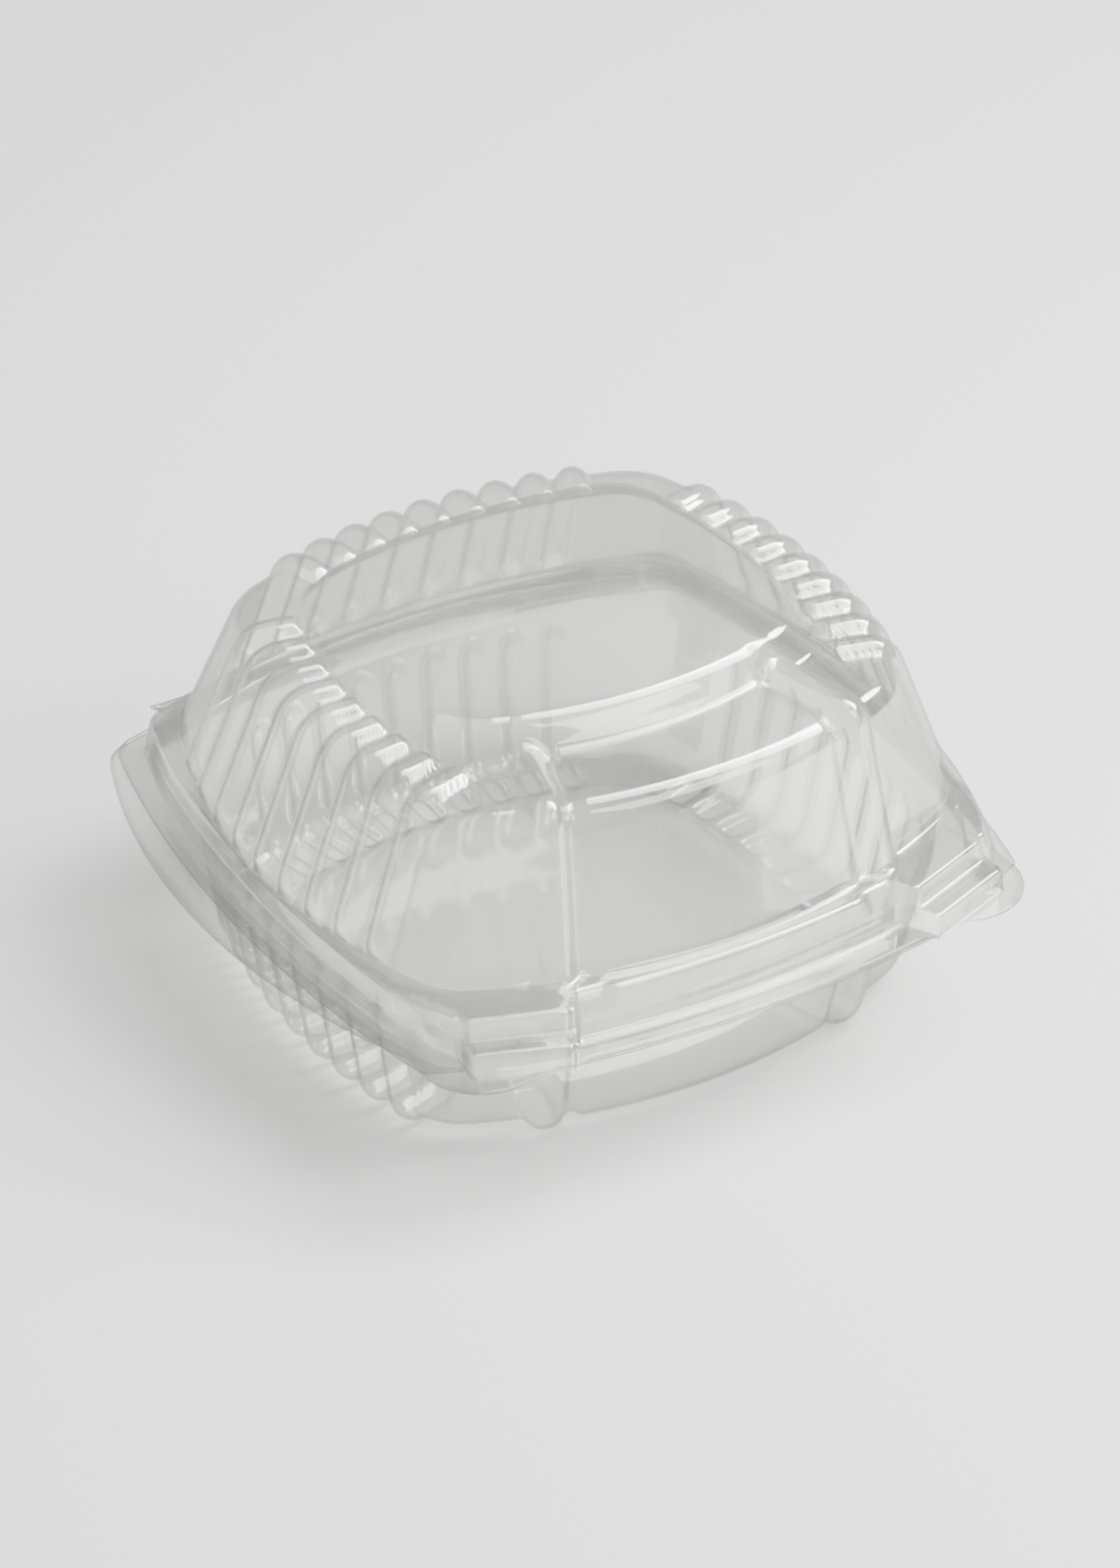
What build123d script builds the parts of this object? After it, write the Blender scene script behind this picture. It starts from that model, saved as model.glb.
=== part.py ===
"""Clear moulded clamshell pack: a square tray and a domed lid, folded together along a living hinge.

Frame: X runs along the opening edge, +Y points back to the hinge, +Z is up.
The origin is on the table, under the middle of the pack. Lengths are millimetres, angles degrees.
"""
from build123d import *
import math
import os

# Sheet and the gaps between the two halves
SHEET = 0.4                # moulded wall thickness
FLANGE_GAP = 0.2           # between the two flanges when shut
PLUG_CLEARANCE = 0.4       # between the tray's rim and the lid's skirt around it

# Heights above the table
TRAY_DEPTH = 30.0          # table to the parting plane, where the flanges meet
SKIRT_HEIGHT = 9.0         # parting plane to the ledge round the lid's foot
SHOULDER_HEIGHT = 39.0     # parting plane to the lid's flat shoulder
CROWN_RISE = 6.6           # raised centre of the lid above its shoulder
KICK_UP = 3.0              # raised centre of the tray's floor above the table

# Half sizes of the body, from the centre line to the middle of each bowed wall: side, front, back
LID_SHOULDER = (53.2, 50.2, 53.2)
LID_FOOT = (64.6, 58.2, 64.2)
CROWN_FOOT = (42.9, 34.0, 42.9)
CROWN_TOP = (38.5, 29.5, 38.0)
TRAY_FLOOR = (57.0, 51.5, 57.0)
TRAY_TOP = (61.8, 58.0, 61.4)
KICK_FOOT = (45.0, 38.0, 45.0)

# The walls are bowed: each lies on a cone whose axis is this far beyond the centre line
BOW = (64.4, 58.4, 64.4)
RIM_BOW = (165.0, 165.0, 165.0)

# Corner rounding and edge rounding
SHOULDER_CORNER = 13.0
FOOT_CORNER = 15.0
CROWN_CORNER = 11.0
KICK_CORNER = 14.0
SHOULDER_ROUND = 4.0
CROWN_ROUND = 3.0
FLOOR_ROUND = 4.0

# Skirt of the lid and the flanges
SKIRT_TOP = (64.9, 62.0, 64.6)
SKIRT_FOOT = (66.0, 63.4, 65.4)
SKIRT_CORNER = 12.0
PLUG_HEIGHT = 8.0          # height of the tray's rim above the parting plane
LID_FLANGE = (69.6, 69.3, 69.0)
LID_FLANGE_CORNER = 7.0
TRAY_FLANGE = (74.6, 69.3, 69.0)
TRAY_FLANGE_BOW = (60.0, 165.0, 165.0)
TRAY_FLANGE_SHIFT = 6.0    # the tray flange bulges most this far behind the middle
TRAY_FLANGE_CORNER = 8.0
TAB_RADIUS = 10.0          # round finger tab at each front corner of the tray
TAB_CENTRE = (53.0, -55.5)
LID_CORNER_CUT = (50.5, -61.0)   # middle of the straight cut across the lid's front corners
LID_CORNER_ANGLE = 24.0

# Half-round ribs over the shoulders of the sides and back, and the posts at the front
RIB_COUNT = 9
RIB_STEP = 3.76            # angle between ribs, seen from the bow centre
RIB_RADIUS = 3.0
RIB_PROUD = 1.9            # how far a rib stands out of the wall
RIB_FOOT_LID = 12.6        # end of a rib above the parting plane
RIB_FOOT_TRAY = 5.0        # end of a rib below the parting plane
RIB_COVER = 6.0            # how far a rib runs on inside the raised centre
POST_ANGLE = 17.0
POST_RADIUS = 4.2
POST_PROUD = 2.4
RIB_BEND = 6.0             # radius of a rib's centre line over the shoulder

# Snap blocks at the front corners: an inner high step and an outer low step
LOCK_ANGLE = 20.0
LOCK_LENGTH = 21.0
LOCK_HIGH = ((44.3, -56.8), 5.6, SKIRT_HEIGHT)
LOCK_LOW = ((45.6, -60.3), 8.0, 5.0)
LOCK_ROUND = 1.6

# Living hinge
HINGE_Y = 69.35            # fold line behind the flanges
HINGE_LENGTH = 100.0
HINGE_GAP = 0.1            # between the strips of the two halves, across the fold line

MARGIN = 2.0               # overlap of joined solids and overrun of cuts


def grown(sizes, amount):
    """Half sizes of a bowed outline, each moved outwards."""
    return tuple(size + amount for size in sizes)


def between(low, high, share):
    """Half sizes part of the way from one outline to another."""
    return tuple(a + (b - a) * share for a, b in zip(low, high))


def bowed_square(sizes, bow, corner, shift=0.0):
    """A square with bowed sides and round corners: side, front and back half sizes."""
    side, front, back = sizes
    square = Pos(bow[0], shift) * Circle(side + bow[0])
    square &= Pos(-bow[0], shift) * Circle(side + bow[0])
    square &= Pos(0, bow[1]) * Circle(front + bow[1])
    square &= Pos(0, -bow[2]) * Circle(back + bow[2])
    return fillet(square.vertices(), corner)


def tapered(low, high, z_low, z_high, bow, corner_low, corner_high):
    """Solid between two bowed squares at two heights."""
    bottom = Pos(0, 0, z_low) * bowed_square(low, bow, corner_low)
    top = Pos(0, 0, z_high) * bowed_square(high, bow, corner_high)
    return loft([bottom, top], ruled=True)


def rounded_at(solid, z, radius):
    """Round the edge loop that lies at height z."""
    edges = [e for e in solid.edges() if abs(e.center().Z - z) < 0.01]
    return fillet(edges, radius)


def rod(points, radius, bend):
    """Round bar along a bent line in the XZ plane, with ball ends."""
    start, knee, end = [Vector(x, 0, z) for x, z in points]
    line = FilletPolyline(start, knee, end, radius=bend)
    bar = sweep(Plane(origin=start, z_dir=knee - start) * Circle(radius), path=line)
    return bar + Pos(start) * Sphere(radius) + Pos(end) * Sphere(radius)


def fan(bar, bow, turn, angles):
    """Copies of a bar that stands off the +X wall, spread about the bow centre, on the wall at turn."""
    return [Rot(0, 0, turn) * Pos(-bow, 0, 0) * Rot(0, 0, angle) * Pos(bow, 0, 0) * bar for angle in angles]


def wall_bars(foot, shoulder, z_foot, z_shoulder, z_end, start, radius, proud, inset):
    """Path of a bar sunk in a shoulder and the wall below or above it, as a rod."""
    run, rise = foot - shoulder, z_foot - z_shoulder
    length = math.hypot(run, rise)
    up = 1 if z_shoulder > z_foot else -1
    sink = radius - proud
    normal_x, normal_z = abs(rise) / length, up * run / length
    z_line = z_shoulder - up * sink
    share = (z_line - z_shoulder + sink * normal_z) / rise
    knee = (shoulder + share * run - sink * normal_x, z_line)
    share = (z_end - z_shoulder + sink * normal_z) / rise
    end = (shoulder + share * run - sink * normal_x, z_end)
    return rod([(start, z_line), knee, end], radius - inset, RIB_BEND)


def ribs_and_posts(foot, shoulder, z_foot, z_rib_shoulder, z_post_shoulder, z_rib, z_post, starts, inset):
    """The ribs on both sides and the back, and the two posts at the front, of one half."""
    middle = (RIB_COUNT - 1) / 2
    angles = [(i - middle) * RIB_STEP for i in range(RIB_COUNT)]
    side = wall_bars(foot[0], shoulder[0], z_foot, z_rib_shoulder, z_rib, starts[0],
                     RIB_RADIUS, RIB_PROUD, inset)
    back = wall_bars(foot[2], shoulder[2], z_foot, z_rib_shoulder, z_rib, starts[2],
                     RIB_RADIUS, RIB_PROUD, inset)
    post = wall_bars(foot[1], shoulder[1], z_foot, z_post_shoulder, z_post, starts[1],
                     POST_RADIUS, POST_PROUD, inset)
    bars = fan(side, BOW[0], 0, angles) + fan(side, BOW[0], 180, angles) + fan(back, BOW[2], 90, angles)
    return bars + fan(post, BOW[1], -90, [-POST_ANGLE, POST_ANGLE])


def lock_blocks(inset, z_low, drop):
    """Both stepped snap blocks, from z_low up, with every face moved in by inset."""
    blocks = []
    for side in (-1, 1):
        for (x, y), width, height in (LOCK_HIGH, LOCK_LOW):
            top = TRAY_DEPTH + height - drop
            block = Box(LOCK_LENGTH - 2 * inset, width - 2 * inset, top - z_low)
            block = fillet(block.edges().filter_by(Axis.Z), LOCK_ROUND - inset)
            centre = Pos(side * x, y, (top + z_low) / 2)
            blocks.append(centre * Rot(0, 0, side * LOCK_ANGLE) * block)
    return blocks


def lid_mould(inset):
    """Solid shape of the lid's outside, or of its hollow when inset by the sheet."""
    z_part = TRAY_DEPTH + FLANGE_GAP / 2
    z_open = z_part if inset == 0 else z_part - MARGIN
    z_ledge = TRAY_DEPTH + SKIRT_HEIGHT - inset
    z_shoulder = TRAY_DEPTH + SHOULDER_HEIGHT - inset
    z_crown = z_shoulder + CROWN_RISE
    foot, shoulder = grown(LID_FOOT, -inset), grown(LID_SHOULDER, -inset)

    share = -MARGIN / (z_shoulder - z_ledge)
    body = tapered(between(foot, shoulder, share), shoulder, z_ledge - MARGIN, z_shoulder,
                   BOW, FOOT_CORNER - inset, SHOULDER_CORNER - inset)
    body = rounded_at(body, z_shoulder, SHOULDER_ROUND - inset)
    crown = tapered(grown(CROWN_FOOT, -inset), grown(CROWN_TOP, -inset), z_shoulder - MARGIN, z_crown,
                    BOW, CROWN_CORNER, CROWN_CORNER)
    crown = rounded_at(crown, z_crown, CROWN_ROUND - inset)
    skirt = tapered(grown(SKIRT_FOOT, -inset), grown(SKIRT_TOP, -inset), z_open, z_ledge,
                    RIM_BOW, SKIRT_CORNER - inset, SKIRT_CORNER - inset)
    starts = [size - RIB_COVER for size in CROWN_FOOT]
    z_top = TRAY_DEPTH + SHOULDER_HEIGHT
    bars = ribs_and_posts(LID_FOOT, LID_SHOULDER, TRAY_DEPTH + SKIRT_HEIGHT, z_top, z_top,
                          TRAY_DEPTH + RIB_FOOT_LID, TRAY_DEPTH + SKIRT_HEIGHT - MARGIN, starts, inset)
    return body.fuse(*bars).fuse(skirt).fuse(crown).fuse(*lock_blocks(inset, z_open, inset))


def hinge_strip(z_low):
    """Half of the living hinge: a straight strip from the flange to the fold line."""
    edge = HINGE_Y - HINGE_GAP / 2
    depth = edge - SKIRT_FOOT[2]
    return Pos(0, edge - depth / 2, z_low + SHEET / 2) * Box(HINGE_LENGTH, depth, SHEET)


def cut_behind_fold(outline):
    """Straighten a flange outline along the fold line."""
    edge, reach = HINGE_Y - HINGE_GAP / 2, 4 * HINGE_Y
    return outline - Pos(0, edge + reach / 2) * Rectangle(reach, reach)


def make_lid():
    """Domed lid with its skirt, snap blocks, flange and its half of the hinge."""
    z_low = TRAY_DEPTH + FLANGE_GAP / 2
    outline = bowed_square(LID_FLANGE, RIM_BOW, LID_FLANGE_CORNER)
    for side in (-1, 1):
        x, y = LID_CORNER_CUT
        reach = LID_FLANGE[0]
        turn = Rot(0, 0, side * LID_CORNER_ANGLE)
        outline -= Pos(side * x, y) * turn * Pos(0, -reach / 2) * Rectangle(reach, reach)
    flange = Pos(0, 0, z_low) * extrude(cut_behind_fold(outline), SHEET)
    lid = lid_mould(0).fuse(flange, hinge_strip(z_low))
    return lid - lid_mould(SHEET)


def tray_body(inset, z_top):
    """Tapered tray shape with its ribs and posts, from the floor up to z_top."""
    floor, top = grown(TRAY_FLOOR, -inset), grown(TRAY_TOP, -inset)
    body = tapered(floor, top, inset, TRAY_DEPTH, BOW, SHOULDER_CORNER - inset, FOOT_CORNER - inset)
    body = rounded_at(body, inset, FLOOR_ROUND - inset)
    starts = [size - RIB_COVER for size in KICK_FOOT]
    z_end = TRAY_DEPTH - RIB_FOOT_TRAY
    bars = ribs_and_posts(TRAY_TOP, TRAY_FLOOR, TRAY_DEPTH, RIB_PROUD, POST_PROUD,
                          z_end, z_end, starts, inset)
    neck = Pos(0, 0, TRAY_DEPTH - SHEET) * bowed_square(top, BOW, FOOT_CORNER - inset)
    neck = extrude(neck, z_top - TRAY_DEPTH + SHEET)
    return body.fuse(*bars).fuse(neck)


def plug_mould(inset, z_low):
    """Ridge of the tray's rim that the lid's skirt closes over, with its snap blocks."""
    gap = SHEET + PLUG_CLEARANCE + inset
    z_crest = TRAY_DEPTH + PLUG_HEIGHT - inset
    ridge = tapered(grown(SKIRT_FOOT, -gap), grown(SKIRT_TOP, -gap), z_low, z_crest,
                    RIM_BOW, SKIRT_CORNER - gap, SKIRT_CORNER - gap)
    drop = SKIRT_HEIGHT - PLUG_HEIGHT + inset
    return ridge.fuse(*lock_blocks(gap, z_low, drop))


def make_tray():
    """Tray with its rim ridge, snap blocks, flange with finger tabs and its half of the hinge."""
    z_top = TRAY_DEPTH - FLANGE_GAP / 2
    z_low = z_top - SHEET
    outline = bowed_square(TRAY_FLANGE, TRAY_FLANGE_BOW, TRAY_FLANGE_CORNER, TRAY_FLANGE_SHIFT)
    for side in (-1, 1):
        outline += Pos(side * TAB_CENTRE[0], TAB_CENTRE[1]) * Circle(TAB_RADIUS)
    flange = Pos(0, 0, z_low) * extrude(cut_behind_fold(outline), SHEET)
    crest = TRAY_DEPTH + PLUG_HEIGHT
    wall = tray_body(0, crest)
    kick = tapered(KICK_FOOT, grown(KICK_FOOT, -KICK_UP), -MARGIN, KICK_UP, BOW, KICK_CORNER, KICK_CORNER)
    kick_inside = tapered(grown(KICK_FOOT, SHEET), grown(KICK_FOOT, SHEET - KICK_UP), -MARGIN,
                          KICK_UP + SHEET, BOW, KICK_CORNER + SHEET, KICK_CORNER + SHEET)
    hollow = plug_mould(SHEET, z_low - MARGIN) - wall
    cavity = tray_body(SHEET, crest + MARGIN) - kick_inside
    tray = wall.fuse(plug_mould(0, z_low)).fuse(flange, hinge_strip(z_low))
    return tray - hollow - cavity - kick


def main():
    """Write one STEP file for each half."""
    os.makedirs("parts", exist_ok=True)
    for name, half in (("base_tray", make_tray()), ("hinged_lid", make_lid())):
        half.label = name
        export_step(half, f"parts/{name}.step")
        box = half.bounding_box()
        print(name, half.is_valid, len(half.solids()), round(half.volume, 1), box.min, box.max)


if __name__ == "__main__":
    main()
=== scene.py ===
"""Looks of a clear moulded clamshell pack: a ribbed square tray and a domed lid that closes over its rim.

Each half is one formed sheet. Its shape is a set of bowed square outlines at different heights, joined by a
rounded profile, and the ribs, posts and snap blocks push that sheet out.
Sizes in the tables are millimetres, angles degrees; finished meshes are in metres.
"""
import math
from collections import namedtuple

import bmesh
import bpy
import numpy as np
from mathutils import Matrix, Vector


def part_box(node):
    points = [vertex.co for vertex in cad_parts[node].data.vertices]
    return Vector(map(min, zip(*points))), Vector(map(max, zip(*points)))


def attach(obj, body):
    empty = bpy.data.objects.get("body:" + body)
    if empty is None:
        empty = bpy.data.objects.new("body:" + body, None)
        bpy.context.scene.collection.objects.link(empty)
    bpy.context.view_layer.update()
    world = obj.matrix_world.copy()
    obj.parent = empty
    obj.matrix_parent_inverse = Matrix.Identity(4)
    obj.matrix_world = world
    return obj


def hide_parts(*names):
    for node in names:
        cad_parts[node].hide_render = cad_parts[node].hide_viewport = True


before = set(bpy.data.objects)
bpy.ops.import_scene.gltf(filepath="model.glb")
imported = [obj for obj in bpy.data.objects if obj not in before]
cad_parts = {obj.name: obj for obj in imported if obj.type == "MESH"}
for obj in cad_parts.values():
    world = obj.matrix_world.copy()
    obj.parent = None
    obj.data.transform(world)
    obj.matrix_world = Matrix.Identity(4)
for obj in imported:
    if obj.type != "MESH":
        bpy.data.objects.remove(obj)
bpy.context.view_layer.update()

bl_info = {
    "name": "Clear Clamshell Pack",
    "version": (1, 0, 0),
    "blender": (4, 5, 0),
    "location": "View3D > Sidebar > Clamshell",
    "description": "Forms the tray, the lid and the studio of a clear clamshell pack",
    "category": "Object",
}

MM = 0.001

# Heights above the table
PARTING = 30.0
LEDGE = 39.0               # ledge round the foot of the lid's walls
LOW_STEP = 35.0            # top of the outer step of the lid's snap blocks
SHOULDER = 69.0
CROWN = 75.6
RIDGE = 38.0               # top of the tray's rim ridge
FLOOR = 1.5                # under face of the tray's floor
KICK_RISE = 1.5            # how far the floor's raised middle stands above it
SKIRT_END = 0.5            # how far each skirt ends short of the parting plane

# Half sizes of the outlines: sides, front, back
CROWN_TOP = (38.5, 29.5, 38.0)
CROWN_FOOT = (42.9, 34.0, 42.9)
LID_SHOULDER = (53.2, 50.2, 53.2)
LID_FOOT = (64.6, 58.2, 64.2)
SKIRT_TOP = (64.9, 62.0, 64.6)
SKIRT_FOOT = (66.0, 63.4, 65.4)
LID_FLANGE = (69.6, 69.3, 69.0)
TRAY_FLOOR = (57.0, 51.5, 57.0)
TRAY_TOP = (61.8, 58.0, 61.4)
KICK_FOOT = (45.0, 38.0, 45.0)
KICK_SLOPE = 3.0           # how far the raised middle draws in as it rises
TRAY_FLANGE = (74.6, 69.3, 69.0)

# Corner radii of the outlines
CROWN_CORNER = 11.0
SHOULDER_CORNER = 13.0
FOOT_CORNER = 15.0
SKIRT_CORNER = 12.0
LID_FLANGE_CORNER = 7.0
TRAY_FLANGE_CORNER = 8.0
KICK_CORNER = 14.0

# How far beyond the centre line the bowed walls have their axes
BOW = (64.4, 58.4, 64.4)
RIM_BOW = (165.0, 165.0, 165.0)
TRAY_FLANGE_BOW = (60.0, 165.0, 165.0)
TRAY_FLANGE_SHIFT = 6.0
NEST_GAP = 1.2             # from the skirt's outer face in to the under face of the tray's ridge
RIDGE_TOP_DROP = 0.4       # under face of the ridge's crest below its top
RIDGE_STEP_DROP = 1.4      # low step of the ridge below that of the lid

# Ribs over both sides and the back, posts at the ends of the front panel
RIB_COUNT = 9
RIB_STEP = 3.76
LID_RIB_END = 42.6         # height of the ribs' lower ends
TRAY_RIB_END = 25.0        # height of their upper ends
POST_ANGLE = 17.0
POST_RADIUS = 4.2
POST_PROUD = 2.4
PANEL_HALF_ANGLE = 13.7
PANEL_PROUD = 0.9
PANEL_EASE = 1.4           # width over which the panel's edge rises
PANEL_END_EASE = 2.0       # height over which it fades at its end
PANEL_START_EASE = 3.0     # depth over which it fades at its start
RELIEF_HALF_ANGLE = 21.5   # ribs and posts stay inside this angle of their wall's middle
BAR_BLEND = 0.3            # how softly ribs and posts run out into the wall

# Share of the front wall's swell that leans out, at the crown's foot, the shoulder and the wall's foot
CROWN_FOOT_LEAN = -0.68
SHOULDER_LEAN = 0.77
WALL_FOOT_LEAN = 1.03

# Where the ribs start and stop along the profile, and over how much they fade, counted in stations
RIBS_IN = (3.95, 0.35)
RIBS_OUT = (6.0, 0.3)

# Snap blocks: middle, half width and turn, for the high inner and the low outer step
BLOCK_HALF_LENGTH = 10.5
BLOCK_TURN = 20.0
BLOCK_CORNER = (15.0, -20.0)               # a block shapes only the rim beyond this point
HIGH_BLOCK = ((44.3, -56.8), 2.8)
LOW_BLOCK = ((45.6, -60.3), 4.0)
BLOCK_DRAFT = 0.4          # how far a block's face leans out on its way down
BLOCK_END_EASE = 0.9       # length over which a block's end rises
STEP_DROP = 0.1            # half the fall across the low step
LEAST_STEP = 0.1           # each rim level lies at least this far outside the one above
LEAST_FLANGE = 0.3
BEAD_STEP = 1.7            # how far the rim bead's edge steps back beside a block

# Where the bead steps back, on the front and on the sides: start, its ease, end, its ease, and how far out
# the wall has to be
BEAD_FRONT = (25.5, 2.5, 36.5, 1.5, 50.0)
BEAD_SIDES = (42.5, 2.5, 55.5, 1.5, 50.0)

# Flange trim
CORNER_CUT = ((50.5, -61.0), 24.0)
EAR = ((51.2, -54.8), 11.6)
FOLD_Y = 69.3
FOLD_HALF_LENGTH = 50.0
BACK_Y = 45.0              # the flange reaches for the fold from behind this line
LEAST_TOWARDS = 0.2        # a ray meets the fold only if it points backwards at least this much
LEAST_FACING = 0.3         # a ray meets the corner cut only if it faces it at least this much

# The way each wall faces: right, back, left and front
FRONT_TURN = 270.0
WALL_TURNS = (0.0, 90.0, 180.0, FRONT_TURN)

# Columns of the mesh along each wall's even zone, on either side of it, and round each corner
EVEN_ZONES = (16.92, 16.92, 16.92, 20.5)   # half angle of each wall's even zone
EVEN_COLUMNS = 108
END_COLUMNS = 14
CORNER_COLUMNS = 40
WIDEST_ZONE = 0.97         # share of a wall that its even zone may take
LONGEST_BEND = 0.45        # share of a straight that a bend at its end may take
MERGE_GAP = 0.002          # points closer than this are one, as at the middle and round the closing seam

# Camera, lights and floor, in metres, degrees and watts
CAMERA_PLACE = (-0.5311, -0.85083, 0.73059)
CAMERA_TURNS = (55.328, 0.909, -31.92)     # tilt up from straight down, roll, heading
CAMERA_LENS = 152.05
SENSOR_WIDTH = 36.0
FLOOR_HALF_SIZE = 8.0
SKY_STRENGTH = 0.85
SOFTBOXES = (              # name, place, width and height, power, the point it faces
    ("softbox_over", (0.44, -0.12, 0.80), (0.42, 0.75), 24.0, (0.0, 0.0, 0.05)),
    ("softbox_front", (0.40, -0.80, 0.75), (0.6, 0.5), 14.0, (0.25, -0.50, 0.0)),
)

# Sheet surfaces that light passes before it stops: with only eight, overlapping walls come out too dark
SURFACES_SEEN_THROUGH = 32

# The sheet's finish
STYRENE_IOR = 1.58
WAVE_LENGTH = 14.0         # draw waves left by forming, drawn taller than real ones so that they show
WAVE_HEIGHT = 0.25
MIRROR_SHARE = 0.55        # toned down: the full reflection off both faces hides how clear the sheet is
EDGE_POWER = 5.0           # how narrow the darker edges are
EDGE_VEIL = 0.15           # milky share of a wall seen edge on

Station = namedtuple("Station", "points ease bend_rows run_rows")


def heading(degrees):
    """Unit vector in plan."""
    return np.array([math.cos(math.radians(degrees)), math.sin(math.radians(degrees))])


def by_wall(sizes):
    """Side, front and back values as right, back, left and front."""
    side, front, back = sizes
    return (side, back, side, front)


def grown(sizes, amount):
    """Half sizes, each moved outwards."""
    return tuple(size + amount for size in sizes)


def meeting_point(centre_a, reach_a, centre_b, reach_b):
    """Where circles about two centres meet, on the left of the line from the first to the second."""
    apart = centre_b - centre_a
    gap = np.hypot(*apart)
    along = (gap ** 2 + reach_a ** 2 - reach_b ** 2) / (2 * gap)
    across = math.sqrt(reach_a ** 2 - along ** 2)
    ahead = apart / gap
    return centre_a + ahead * along + np.array([-ahead[1], ahead[0]]) * across


def angle_from(vector, turn):
    """Angle of a plan vector, measured from a heading, between -180 and 180."""
    return (math.degrees(math.atan2(vector[1], vector[0])) - turn + 180) % 360 - 180


def wall_angles(start, end, zone):
    """Angles of one wall's columns: even over the ribs, stretched towards the corners."""
    low, high = max(start * WIDEST_ZONE, -zone), min(end * WIDEST_ZONE, zone)
    return np.concatenate([np.linspace(start, low, END_COLUMNS, endpoint=False),
                           np.linspace(low, high, EVEN_COLUMNS, endpoint=False),
                           np.linspace(high, end, END_COLUMNS, endpoint=False)])


def outline(sizes, bows, corner, shift=0.0):
    """Points round a square with bowed sides and round corners, one for each mesh column."""
    centres = [np.array([0.0, slide]) - heading(turn) * bow
               for turn, bow, slide in zip(WALL_TURNS, by_wall(bows), (shift, 0.0, shift, 0.0))]
    reaches = [size + bow for size, bow in zip(by_wall(sizes), by_wall(bows))]
    corners = [meeting_point(centres[k], reaches[k] - corner, centres[k - 3], reaches[k - 3] - corner)
               for k in range(4)]
    points = []
    for k, turn in enumerate(WALL_TURNS):
        hub = -heading(turn) * by_wall(BOW)[k]
        ends = [angle_from(c + (c - centres[k]) / np.hypot(*(c - centres[k])) * corner - hub, turn)
                for c in (corners[k - 1], corners[k])]
        for angle in wall_angles(*ends, EVEN_ZONES[k]):
            ray = heading(turn + angle)
            lean = ray @ (hub - centres[k])
            rest = (hub - centres[k]) @ (hub - centres[k]) - reaches[k] ** 2
            points.append(hub + ray * (math.sqrt(lean ** 2 - rest) - lean))
        first = angle_from(corners[k] - centres[k], 0.0)
        sweep = (angle_from(corners[k] - centres[k - 3], 0.0) - first) % 360
        for share in np.linspace(0, 1, CORNER_COLUMNS, endpoint=False):
            points.append(corners[k] + heading(first + share * sweep) * corner)
    return np.array(points)


def lifted(points, height):
    """Plan points as 3-D points at one height."""
    return np.column_stack([points, np.full(len(points), float(height))])


def smooth_step(values):
    """0 below 0, 1 above 1, eased between."""
    values = np.clip(values, 0, 1)
    return values * values * (3 - 2 * values)


def dome(distance, radius, proud):
    """Height of a half-round bar that stands proud of a wall, eased into the wall at its foot."""
    inside = np.sqrt(np.maximum(radius ** 2 - distance ** 2, 0)) - (radius - proud)
    outside = -(radius - proud) - (distance - radius)
    height = np.where(distance < radius, inside, outside)
    return (height + np.sqrt(height ** 2 + BAR_BLEND ** 2)) / 2


def front_relief(points):
    """Outward swell of the front wall: the panel in the middle and the post at each end of it."""
    hub = np.array([0.0, BOW[1]])
    spokes = points[:, :2] - hub
    reach = np.hypot(*spokes.T)
    angle = np.abs(np.degrees(np.arctan2(spokes[:, 0], -spokes[:, 1])))
    post = dome(np.abs(np.radians(angle - POST_ANGLE)) * reach, POST_RADIUS, POST_PROUD)
    panel = smooth_step(np.radians(PANEL_HALF_ANGLE - angle) * reach / PANEL_EASE + 0.5) * PANEL_PROUD
    on_front = (points[:, 1] < 0) & (angle < RELIEF_HALF_ANGLE)
    return np.where(on_front, np.maximum(post, panel), 0.0)


def pushed(points, outward, upward):
    """Points moved away from their wall's hub at the front, and up."""
    hub = np.array([0.0, BOW[1]])
    spokes = points[:, :2] - hub
    spokes /= np.hypot(*spokes.T)[:, None]
    moved = points.copy()
    moved[:, :2] += spokes * outward[:, None]
    moved[:, 2] += upward
    return moved


def rib_relief(points, end_height, start_sizes, rib_radius, rib_proud, with_posts):
    """Height of the ribs and posts over the sheet at each point, as bars with ball ends.

    The lid's ribs end above the foot of its walls, and the tray's ribs and posts below its rim.
    """
    heights = np.zeros(points.shape[:-1])
    to_end = np.abs(points[..., 2] - end_height)
    past_end = np.where((points[..., 2] < end_height) != with_posts, to_end, 0.0)
    for k, turn in enumerate(WALL_TURNS):
        hub = -heading(turn) * by_wall(BOW)[k]
        spokes = points[..., :2] - hub
        reach = np.linalg.norm(spokes, axis=-1)
        angle = np.degrees(np.arctan2(spokes @ heading(turn + 90), spokes @ heading(turn)))
        behind_start = np.maximum(by_wall(start_sizes)[k] + by_wall(BOW)[k] - reach, 0)
        if turn == FRONT_TURN:
            if not with_posts:
                continue
            aside = np.abs(np.radians(np.abs(angle) - POST_ANGLE)) * reach
            distance = np.sqrt(aside ** 2 + behind_start ** 2 + past_end ** 2)
            height = dome(distance, POST_RADIUS, POST_PROUD)
            panel = smooth_step(np.radians(PANEL_HALF_ANGLE - np.abs(angle)) * reach / PANEL_EASE + 0.5)
            panel = panel * smooth_step(1 - past_end / PANEL_END_EASE)
            panel = panel * smooth_step(1 - behind_start / PANEL_START_EASE)
            height = np.maximum(height, panel * PANEL_PROUD)
        else:
            nearest = np.clip(np.round(angle / RIB_STEP), -(RIB_COUNT // 2), RIB_COUNT // 2)
            aside = np.abs(np.radians(angle - nearest * RIB_STEP)) * reach
            distance = np.sqrt(aside ** 2 + behind_start ** 2 + past_end ** 2)
            height = dome(distance, rib_radius, rib_proud)
        on_wall = np.abs(angle) < RELIEF_HALF_ANGLE
        heights = np.where(on_wall, np.maximum(heights, height), heights)
    return heights


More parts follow.
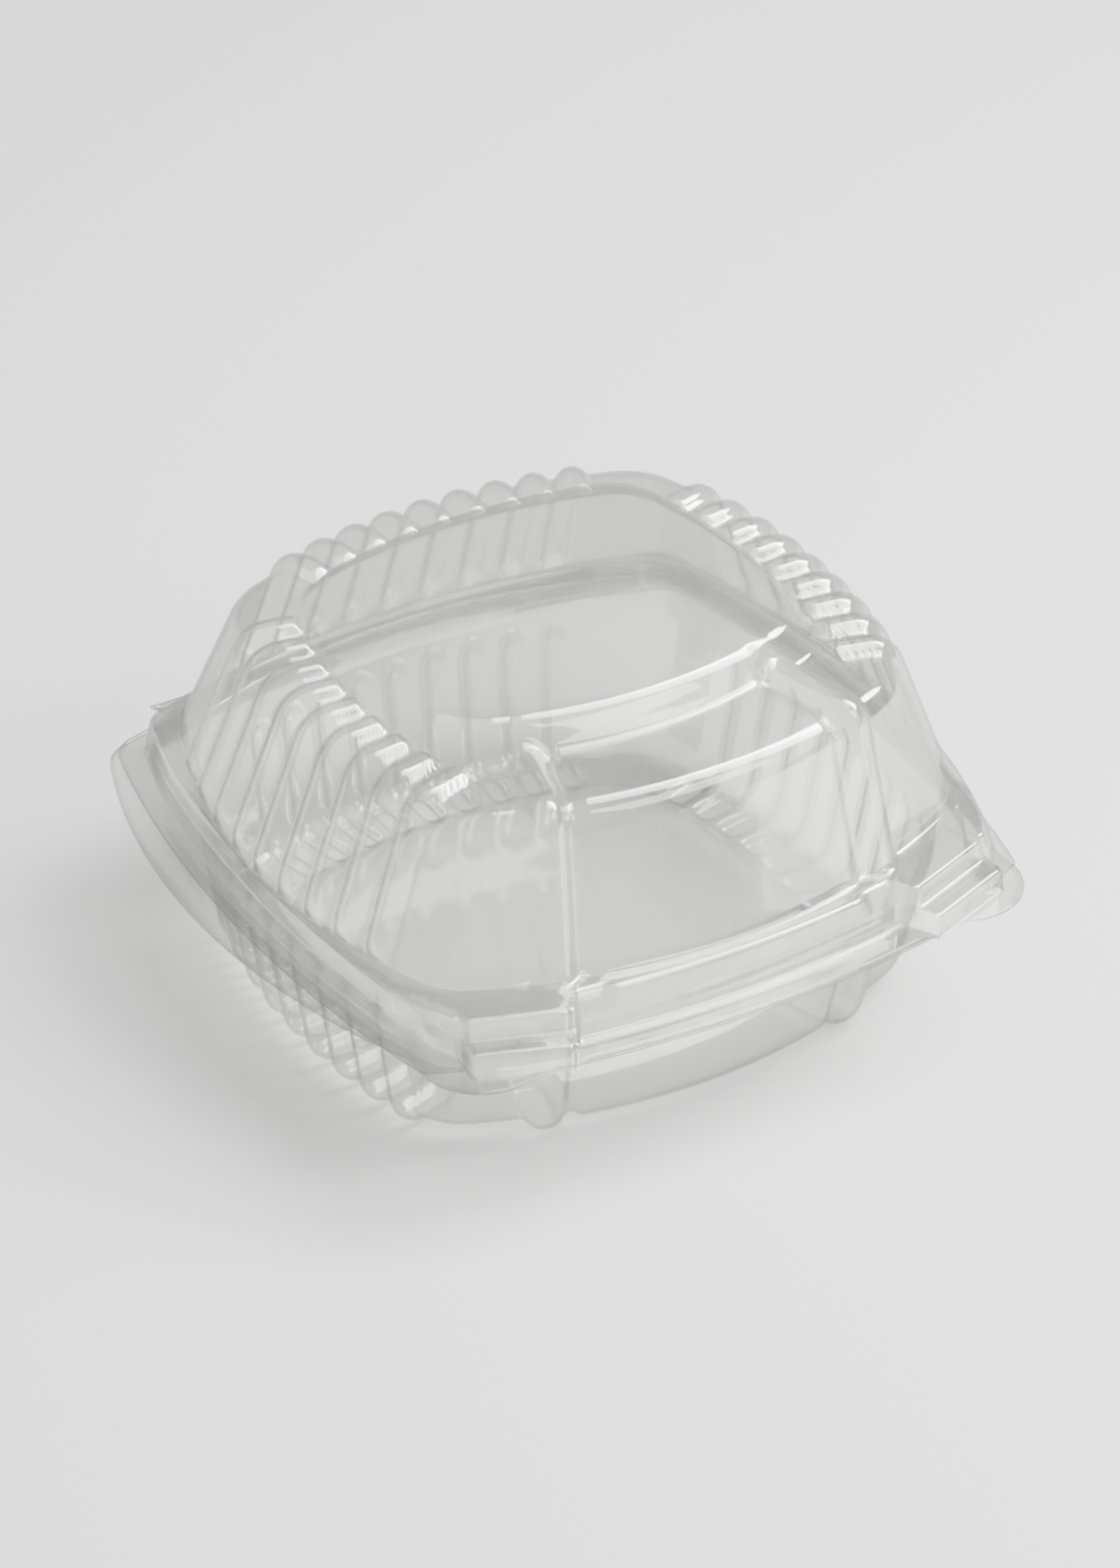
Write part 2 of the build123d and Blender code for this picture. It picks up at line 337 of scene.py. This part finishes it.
def profile_rows(stations):
    """Rows of points through the stations, and each row's place counted in stations.

    The profile bends within a station's ease, over its bend_rows, and run_rows follow on the next straight.
    """
    rows, places = [stations[0].points], [0.0]
    leave = stations[0].points
    for i in range(1, len(stations) - 1):
        here, ease, bend_rows, _ = stations[i]
        before, after = stations[i - 1].points, stations[i + 1].points
        back, ahead = before - here, after - here
        back_length = np.linalg.norm(back, axis=1)[:, None] + 1e-9
        ahead_length = np.linalg.norm(ahead, axis=1)[:, None] + 1e-9
        setback = np.minimum(np.minimum(ease, LONGEST_BEND * back_length), LONGEST_BEND * ahead_length)
        enter = here + back / back_length * setback
        exit_ = here + ahead / ahead_length * setback
        run_rows = stations[i - 1].run_rows
        for n in range(1, run_rows + 1):
            share = n / (run_rows + 1)
            rows.append(leave + (enter - leave) * share)
            places.append(i - 0.75 + 0.5 * share)
        for n in range(bend_rows):
            share = n / (bend_rows - 1)
            rows.append((1 - share) ** 2 * enter + 2 * share * (1 - share) * here + share ** 2 * exit_)
            places.append(i - 0.25 + 0.5 * share)
        leave = exit_
    last = stations[-1].points
    run_rows = stations[-2].run_rows
    for n in range(1, run_rows + 2):
        share = n / (run_rows + 1)
        rows.append(leave + (last - leave) * share)
        places.append(len(stations) - 1.75 + 0.75 * share)
    return np.array(rows), np.array(places)


def sheet_normals(rows, side):
    """Unit normals of the rows of points; side is 1 for the top of a sheet that falls outwards, else -1."""
    around = np.roll(rows, -1, axis=1) - np.roll(rows, 1, axis=1)
    outward = np.gradient(rows, axis=0)
    normals = np.cross(outward, around) * side
    length = np.linalg.norm(normals, axis=2, keepdims=True)
    return normals / np.maximum(length, 1e-9)


def block_face(start, ray, block, side, inset):
    """How far along each ray the outer face of a snap block lies, and how much of the block the ray meets."""
    (x, y), half_width = block
    along = heading(side * BLOCK_TURN)
    across = np.array([-along[1], along[0]])
    middle = np.array([side * x, y])
    reach = (inset - half_width - (start - middle) @ across) / (ray @ across)
    off_middle = np.abs((start + ray * reach[:, None] - middle) @ along)
    weight = smooth_step((BLOCK_HALF_LENGTH - inset - off_middle) / BLOCK_END_EASE + 0.5)
    near = (start[:, 0] * side > BLOCK_CORNER[0]) & (start[:, 1] < BLOCK_CORNER[1])
    return reach, np.where(near, weight, 0.0)


def rim_reaches(levels, start, ray, inset):
    """How far each rim level lies along its rays: ledge edge, low step inside and edge, skirt foot.

    The snap blocks push the levels out, and no level may fall inside the one above it.
    """
    reaches = [np.sum((level - start) * ray, axis=1) for level in levels]
    for side in (-1, 1):
        for block, upper, lower in ((HIGH_BLOCK, 0, 1), (LOW_BLOCK, 2, 3)):
            reach, weight = block_face(start, ray, block, side, inset)
            for level, lean in ((upper, 0.0), (lower, BLOCK_DRAFT)):
                reaches[level] += (reach + lean - reaches[level]) * weight
    for upper, lower in ((0, 1), (1, 2), (2, 3)):
        reaches[lower] = np.maximum(reaches[lower], reaches[upper] + LEAST_STEP)
    return reaches


def rays_between(inner, outer):
    """Unit plan vectors from the columns of one outline to those of another."""
    ray = outer - inner
    return ray / np.hypot(*ray.T)[:, None]


def stretch(along, across, limits):
    """1 on a stretch of one wall, eased to 0 at both ends of it, and 0 on the other walls."""
    start, start_ease, end, end_ease, least_across = limits
    inside = smooth_step((along - start) / start_ease) * smooth_step((end - along) / end_ease)
    return inside * (across > least_across)


def stepped_back(points, foot):
    """Outline of the rim bead, whose outer edge steps back beside each snap block."""
    aside, ahead = np.abs(points[:, 0]), -points[:, 1]
    share = np.maximum(stretch(aside, ahead, BEAD_FRONT), stretch(ahead, aside, BEAD_SIDES))
    return points + rays_between(points, foot[:, :2]) * (share * BEAD_STEP)[:, None]


def reach_to_fold(edge, start, ray):
    """How far the flange goes along each ray, with its back edge drawn out to the straight fold line."""
    reach = np.sum((edge - start) * ray, axis=1)
    towards = ray[:, 1] > LEAST_TOWARDS
    to_fold = (FOLD_Y - start[:, 1]) / np.where(towards, ray[:, 1], 1.0)
    landing = np.abs(start[:, 0] + ray[:, 0] * to_fold)
    at_hinge = (start[:, 1] > BACK_Y) & towards & (landing < FOLD_HALF_LENGTH)
    return np.where(at_hinge, to_fold, reach)


def corner_cut_reach(reach, start, ray):
    """Flange reach with the lid's front corners cut straight."""
    (x, y), turn = CORNER_CUT
    for side in (-1, 1):
        out = np.array([side * math.sin(math.radians(turn)), -math.cos(math.radians(turn))])
        slope = ray @ out
        facing = slope > LEAST_FACING
        cut = ((side * x, y) - start) @ out / np.where(facing, slope, 1.0)
        reach = np.where(facing & (start[:, 0] * side > 0), np.minimum(reach, cut), reach)
    return reach


def eared_reach(reach, start, ray):
    """Flange reach with a round finger tab at each front corner of the tray."""
    (x, y), radius = EAR
    for side in (-1, 1):
        offset = start - (side * x, y)
        lean = np.sum(ray * offset, axis=1)
        root = lean ** 2 - np.sum(offset ** 2, axis=1) + radius ** 2
        far_side = np.sqrt(np.maximum(root, 0)) - lean
        near = (root > 0) & (start[:, 0] * side > 0) & (start[:, 1] < 0)
        reach = np.where(near, np.maximum(reach, far_side), reach)
    return reach


def scaled(points, share):
    """Points drawn in towards the middle of their own outline, at their own height."""
    middle = points[:, :2].mean(axis=0)
    drawn = points.copy()
    drawn[:, :2] = middle + (points[:, :2] - middle) * share
    return drawn


def middle_stations(edge):
    """Stations of a flat middle, from its centre out to but not including its edge."""
    return [Station(scaled(edge, 0.0), 0, 0, 0), Station(scaled(edge, 0.4), 0.5, 2, 0),
            Station(scaled(edge, 0.8), 0.5, 2, 0)]


def lid_stations():
    """Outer face of the lid, from the middle of the crown out to the flange edge."""
    crown_top = lifted(outline(CROWN_TOP, BOW, CROWN_CORNER), CROWN)
    crown_foot = lifted(outline(CROWN_FOOT, BOW, CROWN_CORNER), SHOULDER)
    shoulder = lifted(outline(LID_SHOULDER, BOW, SHOULDER_CORNER), SHOULDER)
    foot = lifted(outline(LID_FOOT, BOW, FOOT_CORNER), LEDGE)
    swell = front_relief(crown_foot)
    crown_foot = pushed(crown_foot, CROWN_FOOT_LEAN * swell, swell)
    swell = front_relief(shoulder)
    shoulder = pushed(shoulder, SHOULDER_LEAN * swell, swell)
    foot = pushed(foot, WALL_FOOT_LEAN * front_relief(foot), np.zeros(len(foot)))
    skirt_top = outline(SKIRT_TOP, RIM_BOW, SKIRT_CORNER)
    skirt_foot = outline(SKIRT_FOOT, RIM_BOW, SKIRT_CORNER)
    top_z, foot_z = LEDGE, PARTING + SKIRT_END
    middle = skirt_top + (skirt_foot - skirt_top) * (top_z - LOW_STEP) / (top_z - foot_z)
    edge = outline(LID_FLANGE, RIM_BOW, LID_FLANGE_CORNER)
    start, ray = foot[:, :2], rays_between(foot[:, :2], edge)
    reaches = rim_reaches((stepped_back(skirt_top, foot), middle, middle, skirt_foot), start, ray, 0.0)
    flange = corner_cut_reach(reach_to_fold(edge, start, ray), start, ray)
    reaches.append(np.maximum(flange, reaches[-1] + LEAST_FLANGE))
    heights = (top_z, LOW_STEP + STEP_DROP, LOW_STEP - STEP_DROP, foot_z, foot_z)
    rim = [lifted(start + ray * reach[:, None], z) for reach, z in zip(reaches, heights)]
    return middle_stations(crown_top) + [
        Station(crown_top, 3.0, 6, 1), Station(crown_foot, 1.6, 5, 5), Station(shoulder, 5.0, 8, 14),
        Station(foot, 1.6, 5, 1), Station(rim[0], 1.3, 5, 0), Station(rim[1], 0.6, 3, 0),
        Station(rim[2], 1.0, 4, 1), Station(rim[3], 1.4, 5, 2), Station(rim[4], 0, 0, 0)]


def tray_stations():
    """Under face of the tray, from the middle of its floor out to the flange edge."""
    kick_top = lifted(outline(grown(KICK_FOOT, -KICK_SLOPE), BOW, KICK_CORNER), FLOOR + KICK_RISE)
    kick_foot = lifted(outline(KICK_FOOT, BOW, KICK_CORNER), FLOOR)
    floor_edge = lifted(outline(TRAY_FLOOR, BOW, SHOULDER_CORNER), FLOOR)
    top = lifted(outline(TRAY_TOP, BOW, FOOT_CORNER), PARTING)
    crest_z, low_z, foot_z = RIDGE - RIDGE_TOP_DROP, LOW_STEP - RIDGE_STEP_DROP, PARTING - SKIRT_END
    crest = lifted(top[:, :2], crest_z)
    ridge_top = outline(grown(SKIRT_TOP, -NEST_GAP), RIM_BOW, SKIRT_CORNER - NEST_GAP)
    ridge_foot = outline(grown(SKIRT_FOOT, -NEST_GAP), RIM_BOW, SKIRT_CORNER - NEST_GAP)
    middle = ridge_top + (ridge_foot - ridge_top) * (RIDGE - low_z) / (RIDGE - foot_z)
    edge = outline(TRAY_FLANGE, TRAY_FLANGE_BOW, TRAY_FLANGE_CORNER, TRAY_FLANGE_SHIFT)
    start, ray = top[:, :2], rays_between(top[:, :2], edge)
    reaches = rim_reaches((stepped_back(ridge_top, top), middle, middle, ridge_foot), start, ray, NEST_GAP)
    flange = eared_reach(reach_to_fold(edge, start, ray), start, ray)
    reaches.append(np.maximum(flange, reaches[-1] + LEAST_FLANGE))
    heights = (crest_z, low_z + STEP_DROP, low_z - STEP_DROP, foot_z, foot_z)
    rim = [lifted(start + ray * reach[:, None], z) for reach, z in zip(reaches, heights)]
    return middle_stations(kick_top) + [
        Station(kick_top, 1.2, 4, 0), Station(kick_foot, 1.2, 4, 4), Station(floor_edge, 4.5, 8, 14),
        Station(top, 1.0, 3, 1), Station(crest, 0.8, 4, 0), Station(rim[0], 0.9, 4, 0),
        Station(rim[1], 0.6, 3, 0), Station(rim[2], 0.9, 3, 1), Station(rim[3], 1.2, 4, 3),
        Station(rim[4], 0, 0, 0)]


def formed_sheet(name, node, stations, side, ribs, finish, thickness):
    """One half of the pack as a mesh: a grid wrapped onto the rows, thickened inwards."""
    rows, places = profile_rows(stations)
    normals = sheet_normals(rows, side)
    begins = smooth_step((places - RIBS_IN[0]) / RIBS_IN[1])
    ends = smooth_step((RIBS_OUT[0] - places) / RIBS_OUT[1])
    weight = begins * ends
    rows = rows + normals * (rib_relief(rows, **ribs) * weight[:, None])[..., None]
    low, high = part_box(node)
    rows = np.clip(rows * MM, np.array(low), np.array(high))

    row_count, column_count = rows.shape[:2]
    mesh = bpy.data.meshes.new(name)
    shape = bmesh.new()
    bmesh.ops.create_grid(shape, x_segments=column_count, y_segments=row_count - 1, size=0.5)
    for vertex in shape.verts:
        column = round((vertex.co.x + 0.5) * column_count) % column_count
        row = round((vertex.co.y + 0.5) * (row_count - 1))
        vertex.co = rows[row, column]
    bmesh.ops.remove_doubles(shape, verts=shape.verts, dist=MERGE_GAP * MM)
    if side > 0:
        bmesh.ops.reverse_faces(shape, faces=shape.faces)
    for face in shape.faces:
        face.smooth = True
    shape.to_mesh(mesh)
    shape.free()
    piece = bpy.data.objects.new(name, mesh)
    bpy.context.collection.objects.link(piece)
    wall = piece.modifiers.new("sheet thickness", "SOLIDIFY")
    wall.thickness = thickness
    wall.offset = -1.0
    mesh.materials.append(finish)
    return piece


def linear(hex_colour):
    """sRGB hex to linear RGBA."""
    channels = [int(hex_colour[i:i + 2], 16) / 255 for i in (1, 3, 5)]
    return tuple(c / 12.92 if c <= 0.04045 else ((c + 0.055) / 1.055) ** 2.4 for c in channels) + (1.0,)


def add_node(tree, kind, inputs=None, **settings):
    """Add a shader node with its settings, and feed its inputs from values or other nodes' sockets."""
    node = tree.nodes.new(kind)
    for name, value in settings.items():
        setattr(node, name, value)
    for socket, value in (inputs or {}).items():
        if isinstance(value, bpy.types.NodeSocket):
            tree.links.new(value, node.inputs[socket])
        else:
            node.inputs[socket].default_value = value
    return node


def clear_styrene_sheet(name, finish):
    """Clear oriented polystyrene, thermoformed: glass-clear and glossy, with faint draw waves.

    Seen square on it hardly shows. Where it turns edge on it darkens and takes a faint milky veil.
    """
    material = bpy.data.materials.new(name)
    material.use_nodes = True
    tree = material.node_tree
    tree.nodes.clear()
    place = add_node(tree, "ShaderNodeTexCoord").outputs["Object"]
    waves = add_node(tree, "ShaderNodeTexNoise", {"Vector": place, "Scale": 1 / (WAVE_LENGTH * MM),
                                                  "Detail": 2.0})
    bump = add_node(tree, "ShaderNodeBump", {"Height": waves.outputs[0], "Strength": 0.35,
                                             "Distance": WAVE_HEIGHT * MM})
    mirror = add_node(tree, "ShaderNodeFresnel", {"IOR": STYRENE_IOR, "Normal": bump.outputs[0]})
    facing = add_node(tree, "ShaderNodeLayerWeight", {"Blend": 0.5, "Normal": bump.outputs[0]})
    edge = add_node(tree, "ShaderNodeMath", {0: facing.outputs["Facing"], 1: EDGE_POWER}, operation="POWER")
    tint = add_node(tree, "ShaderNodeMix", {"Factor": edge.outputs[0], 6: finish.clear_tint,
                                            7: finish.edge_tint}, data_type="RGBA")
    through = add_node(tree, "ShaderNodeBsdfTransparent", {"Color": tint.outputs[2]})
    gloss = add_node(tree, "ShaderNodeBsdfGlossy", {"Color": (1, 1, 1, 1), "Roughness": finish.roughness,
                                                    "Normal": bump.outputs[0]})
    haze = add_node(tree, "ShaderNodeBsdfDiffuse", {"Color": finish.haze_tint, "Normal": bump.outputs[0]})
    share = add_node(tree, "ShaderNodeMath", {0: mirror.outputs[0], 1: MIRROR_SHARE}, operation="MULTIPLY")
    clear = add_node(tree, "ShaderNodeMixShader", {0: share.outputs[0], 1: through.outputs[0],
                                                   2: gloss.outputs[0]})
    veil = add_node(tree, "ShaderNodeMath", {0: edge.outputs[0], 1: EDGE_VEIL, 2: finish.haze},
                    operation="MULTIPLY_ADD")
    sheet = add_node(tree, "ShaderNodeMixShader", {0: veil.outputs[0], 1: clear.outputs[0],
                                                   2: haze.outputs[0]})
    add_node(tree, "ShaderNodeOutputMaterial", {"Surface": sheet.outputs[0]})
    return material


def plain_floor(finish):
    """Matt seamless paper: one pale tone with a soft, even return."""
    material = bpy.data.materials.new("pale_seamless_paper")
    material.use_nodes = True
    paper = material.node_tree.nodes["Principled BSDF"]
    paper.inputs["Base Color"].default_value = finish.floor_tint
    paper.inputs["Roughness"].default_value = 0.9
    return material


class ClamshellSheet(bpy.types.PropertyGroup):
    """Sizes of the formed sheet."""

    thickness: bpy.props.FloatProperty(name="Sheet", description="Thickness of the formed sheet",
                                       default=0.00035, unit="LENGTH")
    rib_radius: bpy.props.FloatProperty(name="Rib Radius", description="Radius of a rib's round back",
                                        default=0.0031, unit="LENGTH")
    rib_proud: bpy.props.FloatProperty(name="Rib Height", description="How far a rib stands out of the wall",
                                       default=0.0019, unit="LENGTH")


class ClamshellFinish(bpy.types.PropertyGroup):
    """Colours and gloss of the sheet and the studio."""

    clear_tint: bpy.props.FloatVectorProperty(name="Clear", subtype="COLOR", size=4, min=0.0, max=1.0,
                                              description="Light let through by a wall seen square on",
                                              default=linear("#FDFDFC"))
    edge_tint: bpy.props.FloatVectorProperty(name="Edge", subtype="COLOR", size=4, min=0.0, max=1.0,
                                             description="Light let through by a wall seen edge on",
                                             default=linear("#868684"))
    haze_tint: bpy.props.FloatVectorProperty(name="Haze", subtype="COLOR", size=4, min=0.0, max=1.0,
                                             description="Colour of the faint milky haze",
                                             default=linear("#E6E6E4"))
    haze: bpy.props.FloatProperty(name="Haze Amount", description="Share of light the sheet scatters",
                                  default=0.006, min=0.0, max=1.0, subtype="FACTOR")
    roughness: bpy.props.FloatProperty(name="Roughness", description="Roughness of the glossy surface",
                                       default=0.07, min=0.0, max=1.0, subtype="FACTOR")
    floor_tint: bpy.props.FloatVectorProperty(name="Floor", subtype="COLOR", size=4, min=0.0, max=1.0,
                                              description="Colour of the floor", default=linear("#E4E4E4"))
    sky_tint: bpy.props.FloatVectorProperty(name="Sky", subtype="COLOR", size=4, min=0.0, max=1.0,
                                            description="Colour of the light all round",
                                            default=linear("#D0D2D4"))


class FORM_OT_clamshell_tray(bpy.types.Operator):
    """Form the tray half: floor, ribbed walls, rim ridge, snap blocks and eared flange"""

    bl_idname = "clamshell.form_tray"
    bl_label = "Form Tray"

    def execute(self, context):
        sheet, finish = context.scene.clamshell_sheet, context.scene.clamshell_finish
        ribs = {"end_height": TRAY_RIB_END, "start_sizes": grown(KICK_FOOT, 2.5), "with_posts": True,
                "rib_radius": sheet.rib_radius / MM, "rib_proud": sheet.rib_proud / MM}
        piece = formed_sheet("tray_shell", "base_tray", tray_stations(), -1, ribs,
                             clear_styrene_sheet("clear_styrene_tray", finish), sheet.thickness)
        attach(piece, "tray")
        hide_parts("base_tray")
        return {"FINISHED"}


class FORM_OT_clamshell_lid(bpy.types.Operator):
    """Form the lid half: crown, ribbed shoulders, ledge, snap blocks and flange"""

    bl_idname = "clamshell.form_lid"
    bl_label = "Form Lid"

    def execute(self, context):
        sheet, finish = context.scene.clamshell_sheet, context.scene.clamshell_finish
        ribs = {"end_height": LID_RIB_END, "start_sizes": grown(CROWN_FOOT, 0.5), "with_posts": False,
                "rib_radius": sheet.rib_radius / MM, "rib_proud": sheet.rib_proud / MM}
        piece = formed_sheet("lid_shell", "hinged_lid", lid_stations(), 1, ribs,
                             clear_styrene_sheet("clear_styrene_lid", finish), sheet.thickness)
        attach(piece, "lid")
        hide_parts("hinged_lid")
        return {"FINISHED"}


class STAGE_OT_clamshell_studio(bpy.types.Operator):
    """Set up the pale floor, the soft lights and the camera"""

    bl_idname = "clamshell.set_studio"
    bl_label = "Set Studio"

    def execute(self, context):
        scene = context.scene
        mesh = bpy.data.meshes.new("floor")
        shape = bmesh.new()
        bmesh.ops.create_grid(shape, x_segments=1, y_segments=1, size=FLOOR_HALF_SIZE)
        shape.to_mesh(mesh)
        shape.free()
        mesh.materials.append(plain_floor(scene.clamshell_finish))
        floor = bpy.data.objects.new("floor", mesh)
        scene.collection.objects.link(floor)

        world = bpy.data.worlds.new("studio")
        world.use_nodes = True
        sky = world.node_tree.nodes["Background"]
        sky.inputs["Color"].default_value = scene.clamshell_finish.sky_tint
        sky.inputs["Strength"].default_value = SKY_STRENGTH
        scene.world = world

        for name, place, size, power, aim in SOFTBOXES:
            lamp = bpy.data.lights.new(name, "AREA")
            lamp.shape = "RECTANGLE"
            lamp.size, lamp.size_y = size
            lamp.energy = power
            light = bpy.data.objects.new(name, lamp)
            light.location = place
            light.rotation_euler = (Vector(aim) - Vector(place)).to_track_quat("-Z", "Y").to_euler()
            scene.collection.objects.link(light)

        lens = bpy.data.cameras.new("camera")
        lens.lens = CAMERA_LENS
        lens.sensor_width = SENSOR_WIDTH
        camera = bpy.data.objects.new("camera", lens)
        tilt, roll, turn = [math.radians(angle) for angle in CAMERA_TURNS]
        pose = Matrix.Rotation(turn, 4, "Z") @ Matrix.Rotation(tilt, 4, "X") @ Matrix.Rotation(roll, 4, "Z")
        camera.matrix_world = Matrix.Translation(CAMERA_PLACE) @ pose
        scene.collection.objects.link(camera)
        scene.camera = camera
        scene.cycles.transparent_max_bounces = SURFACES_SEEN_THROUGH
        return {"FINISHED"}


class VIEW3D_PT_clamshell(bpy.types.Panel):
    """Sidebar panel with the pack's sizes, finish and steps"""

    bl_label = "Clamshell Pack"
    bl_space_type = "VIEW_3D"
    bl_region_type = "UI"
    bl_category = "Clamshell"

    def draw(self, context):
        layout = self.layout
        for group in (context.scene.clamshell_sheet, context.scene.clamshell_finish):
            for name in group.__annotations__:
                layout.prop(group, name)
        for operator in OPERATORS:
            layout.operator(operator.bl_idname)


OPERATORS = (FORM_OT_clamshell_tray, FORM_OT_clamshell_lid, STAGE_OT_clamshell_studio)
CLASSES = (ClamshellSheet, ClamshellFinish) + OPERATORS + (VIEW3D_PT_clamshell,)


def register():
    """Register the classes and hang the settings on the scene."""
    for cls in CLASSES:
        bpy.utils.register_class(cls)
    bpy.types.Scene.clamshell_sheet = bpy.props.PointerProperty(type=ClamshellSheet)
    bpy.types.Scene.clamshell_finish = bpy.props.PointerProperty(type=ClamshellFinish)


def unregister():
    """Undo register."""
    del bpy.types.Scene.clamshell_finish
    del bpy.types.Scene.clamshell_sheet
    for cls in reversed(CLASSES):
        bpy.utils.unregister_class(cls)


def main():
    """Form both halves and set the studio."""
    register()
    bpy.ops.clamshell.form_tray()
    bpy.ops.clamshell.form_lid()
    bpy.ops.clamshell.set_studio()


if __name__ == "__main__":
    main()
